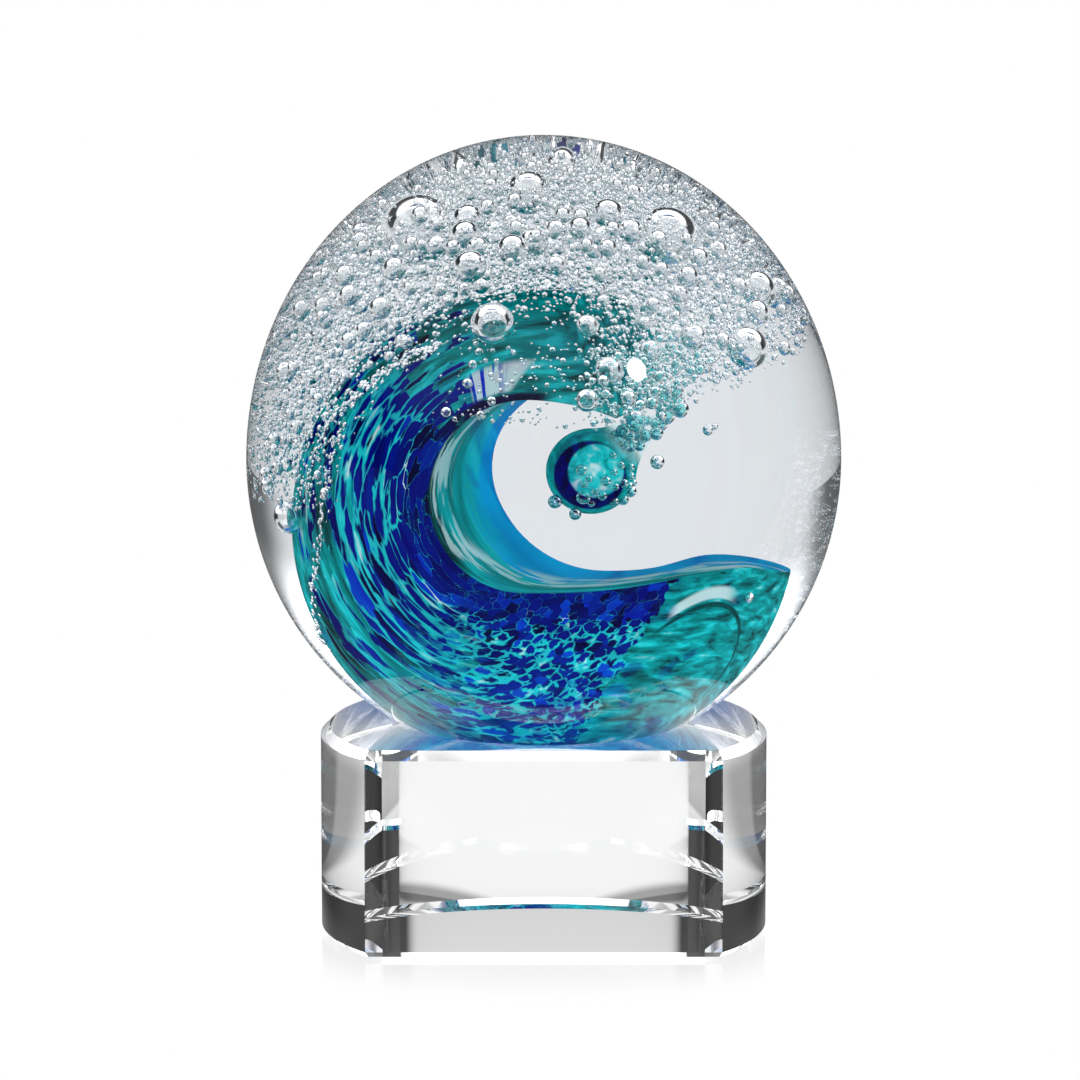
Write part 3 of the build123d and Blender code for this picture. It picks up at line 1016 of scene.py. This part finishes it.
def pale_acrylic():
    """White floor with a painted blue shadow under the ball and a mirror that fades away from the base.

    Its bands of painted shade are places on the floor that show darker only through the glass.
    """
    material = bpy.data.materials.new("Pale acrylic")
    material.use_nodes = True
    tree = NodeTree(material.node_tree)
    tree.nodes.clear()
    where = tree.nodes.new("ShaderNodeTexCoord")
    across, back, _ = tree.split(where.outputs["Object"])
    axis = Vector((0, BASE_LOW.y + settings().ball.base_flat, 0))
    away = tree.combine("DISTANCE", where.outputs["Object"], axis).outputs["Value"]
    near = tree.span(away, *MIRROR_EDGE, 1.0, 0.0)
    path = tree.nodes.new("ShaderNodeLightPath")
    through = tree.math("GREATER_THAN", path.outputs["Transmission Depth"], 1.5)
    # Painted shade: the floor is darker in bands round the base, for rays that have passed through the
    # glass
    shaded_ring = tree.product(
        tree.span(away, *SHADE_RING_START), tree.span(away, *SHADE_RING_END, 1.0, 0.0))
    lane = tree.math("MAXIMUM", tree.math("SUBTRACT", away, LANE_START), LANE_LEAST)
    ahead = tree.math("DIVIDE", tree.math("SUBTRACT", axis.y, back), away)
    behind = tree.span(ahead, *SHADE_BANDS_BEHIND, 1.0, 0.0)
    aside = tree.product(tree.math("DIVIDE", tree.math("ABSOLUTE", across), lane), behind)
    band_shade = tree.product(
        tree.span(aside, *LANE_EDGE, 1.0, SIDE_SHADE_LEVEL), tree.span(aside, *OUTER_SHADE_BANDS, 1.0, SIDE_SHADE_LEVEL),
        tree.span(ahead, *FRONT_SHADE_BAND, 1.0, FRONT_SHADE_LEVEL))
    dark = tree.product(through, shaded_ring, tree.math("SUBTRACT", 1.0, band_shade))
    shade = tree.math("SUBTRACT", 1.0, dark)
    # Painted blue shadow of the ball on the floor under it
    under = tree.span(tree.length(across, back), *PAINTED_SHADOW_EDGE, 1.0, 0.0)
    colour = tree.mix(under, (1, 1, 1), PAINTED_SHADOW_COLOUR)
    fresnel = tree.new("ShaderNodeFresnel", IOR=ACRYLIC_IOR)
    rim_shade = tree.span(away, *FAR_FLOOR, 1.0, RIM_LEVEL)
    strength, _ = surroundings(tree, shade, rim_shade)
    lit = tree.new("ShaderNodeEmission", Color=colour, Strength=strength)
    gloss = tree.new("ShaderNodeBsdfGlossy", Color=(1, 1, 1, 1), Roughness=ACRYLIC_ROUGHNESS)
    mix = tree.nodes.new("ShaderNodeMixShader")
    tree.put(tree.product(fresnel.outputs[0], near), mix.inputs[0])
    tree.put(lit.outputs[0], mix.inputs[1])
    tree.put(gloss.outputs[0], mix.inputs[2])
    output = tree.nodes.new("ShaderNodeOutputMaterial")
    tree.put(mix.outputs[0], output.inputs["Surface"])
    return material


def soft_studio():
    """White room with a navy ceiling, a brighter sky below it, dark flags at its sides and a small lamp.

    The lamp only glints on the outside of the glass.
    A low strip at the back shows only to mirrored rays.
    """
    studio = settings().studio
    world = bpy.data.worlds.new("Soft studio")
    world.use_nodes = True
    tree = NodeTree(world.node_tree)
    tree.nodes.clear()
    where = tree.nodes.new("ShaderNodeTexCoord")
    across, back, up = tree.split(where.outputs["Generated"])
    overhead = tree.span(up, *CEILING_EDGE)
    colour = tree.mix(overhead, (1, 1, 1), CEILING_COLOUR)
    flags = tree.span(tree.math("ABSOLUTE", across), *FLAG_EDGE, 1.0, FLAG_LEVEL)
    sky = tree.span(up, *SKY_EDGE, 1.0, SKY_LEVEL)
    strip = tree.product(
        tree.span(up, *STRIP_FOOT), tree.span(up, *STRIP_HEAD, STRIP_LEVEL, 0.0),
        tree.span(back, *STRIP_BACK))
    rim_shade = tree.math("ADD", strip, tree.span(up, *RIM_EDGE, RIM_LEVEL, 1.0))
    strength, glare = surroundings(tree, tree.product(flags, sky), rim_shade)
    facing = tree.combine("DOT_PRODUCT", where.outputs["Generated"], Vector(studio.lamp_way).normalized())
    outer, inner = (math.cos(studio.lamp_spread * share) for share in LAMP_EDGE)
    lamp = tree.span(facing.outputs["Value"], outer, inner)
    glint = tree.product(lamp, glare, LAMP_LEVEL)
    light = tree.new("ShaderNodeBackground", Color=colour, Strength=tree.math("ADD", strength, glint))
    output = tree.nodes.new("ShaderNodeOutputWorld")
    tree.put(light.outputs[0], output.inputs["Surface"])
    return world


class SCULPTURE_OT_stage(bpy.types.Operator):
    """Set the floor, the soft light and the camera."""

    bl_idname = "sculpture.stage"
    bl_label = "Stage"

    def execute(self, context):
        studio = settings().studio
        scene = context.scene
        scene.view_settings.view_transform = "Standard"
        scene.cycles.max_bounces = MOST_BOUNCES
        scene.cycles.transmission_bounces = MOST_BOUNCES
        scene.cycles.glossy_bounces = MOST_BOUNCES
        scene.cycles.transparent_max_bounces = MOST_BOUNCES
        scene.world = soft_studio()

        bm = bmesh.new()
        bmesh.ops.create_grid(bm, x_segments=1, y_segments=1, size=FLOOR_HALF)
        bmesh.ops.translate(bm, verts=bm.verts, vec=(0, 0, FLOOR_LEVEL))
        mesh = bpy.data.meshes.new("floor")
        bm.to_mesh(mesh)
        bm.free()
        mesh.materials.append(pale_acrylic())
        floor = bpy.data.objects.new("floor", mesh)
        context.collection.objects.link(floor)

        lens = bpy.data.cameras.new("camera")
        lens.lens = lens.sensor_width * studio.distance / studio.frame_width
        lens.clip_end = 20.0
        camera = bpy.data.objects.new("camera", lens)
        context.collection.objects.link(camera)
        target = Vector((studio.aim_across, 0, studio.aim_height))
        back = aim(0, math.degrees(studio.elevation))
        camera.location = target + back * studio.distance
        camera.rotation_euler = (-back).to_track_quat("-Z", "Y").to_euler()
        scene.camera = camera
        return {"FINISHED"}


class SCULPTURE_PT_panel(bpy.types.Panel):
    """Sidebar panel with the sculpture's settings and steps."""

    bl_label = "Glass wave sculpture"
    bl_idname = "SCULPTURE_PT_panel"
    bl_space_type = "VIEW_3D"
    bl_region_type = "UI"
    bl_category = "Sculpture"

    def draw(self, context):
        for group in settings():
            box = self.layout.box()
            for name in group.bl_rna.properties.keys():
                if name not in {"rna_type", "name"}:
                    box.prop(group, name)
        for step in STEPS:
            self.layout.operator(step.bl_idname)


STEPS = (
    SCULPTURE_OT_base, SCULPTURE_OT_casing, SCULPTURE_OT_wave, SCULPTURE_OT_foam, SCULPTURE_OT_stage)
GROUPS = {
    "sculpture_ball": BallSettings,
    "sculpture_colours": GlassColours,
    "sculpture_wave": WaveSettings,
    "sculpture_foam": FoamSettings,
    "sculpture_studio": StudioSettings,
}


def register():
    """Register the settings, the steps and the panel."""
    for name, group in GROUPS.items():
        bpy.utils.register_class(group)
        setattr(bpy.types.Scene, name, PointerProperty(type=group))
    for step in STEPS:
        bpy.utils.register_class(step)
    bpy.utils.register_class(SCULPTURE_PT_panel)


def unregister():
    """Remove the panel, the steps and the settings."""
    bpy.utils.unregister_class(SCULPTURE_PT_panel)
    for step in reversed(STEPS):
        bpy.utils.unregister_class(step)
    for name, group in reversed(GROUPS.items()):
        delattr(bpy.types.Scene, name)
        bpy.utils.unregister_class(group)


def main():
    """Make every piece and the stage."""
    register()
    bpy.ops.sculpture.base()
    bpy.ops.sculpture.casing()
    bpy.ops.sculpture.wave()
    bpy.ops.sculpture.foam()
    bpy.ops.sculpture.stage()


if __name__ == "__main__":
    main()
